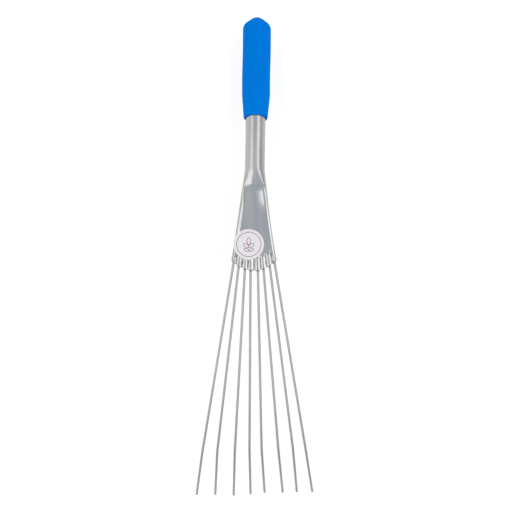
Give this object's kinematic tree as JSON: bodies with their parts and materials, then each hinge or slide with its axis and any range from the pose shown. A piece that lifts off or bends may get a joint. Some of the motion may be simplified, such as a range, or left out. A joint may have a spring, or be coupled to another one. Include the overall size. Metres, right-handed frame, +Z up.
{
  "type": "hand rake",
  "caption": "Hand rake: a steel tube pressed into a fan shaped head that crimps bent spring wire tines, with a vinyl sleeve as its grip.",
  "frame": {"origin": "centre of the bounding box at ground level: the rake lies on its sleeve and on the tips of its tines", "axes": "+Y along the tool towards the grip, +Z up out of the labelled face of the head, +X to the right seen from above"},
  "size_m": [0.1284, 0.5014, 0.0301],
  "materials": {
    "satin_steel": "satin plated sheet steel",
    "spring_wire": "drawn spring wire, satin",
    "blue_vinyl": "soft vinyl, satin",
    "label_paper": "coated paper with a plain printed ring"
  },
  "bodies": {
    "root": {"shank_head": "satin_steel", "tine_1": "spring_wire", "tine_2": "spring_wire", "tine_3": "spring_wire", "tine_4": "spring_wire", "tine_5": "spring_wire", "tine_6": "spring_wire", "tine_7": "spring_wire", "tine_8": "spring_wire", "grip": "blue_vinyl", "label": "label_paper"}
  },
  "joints": []
}
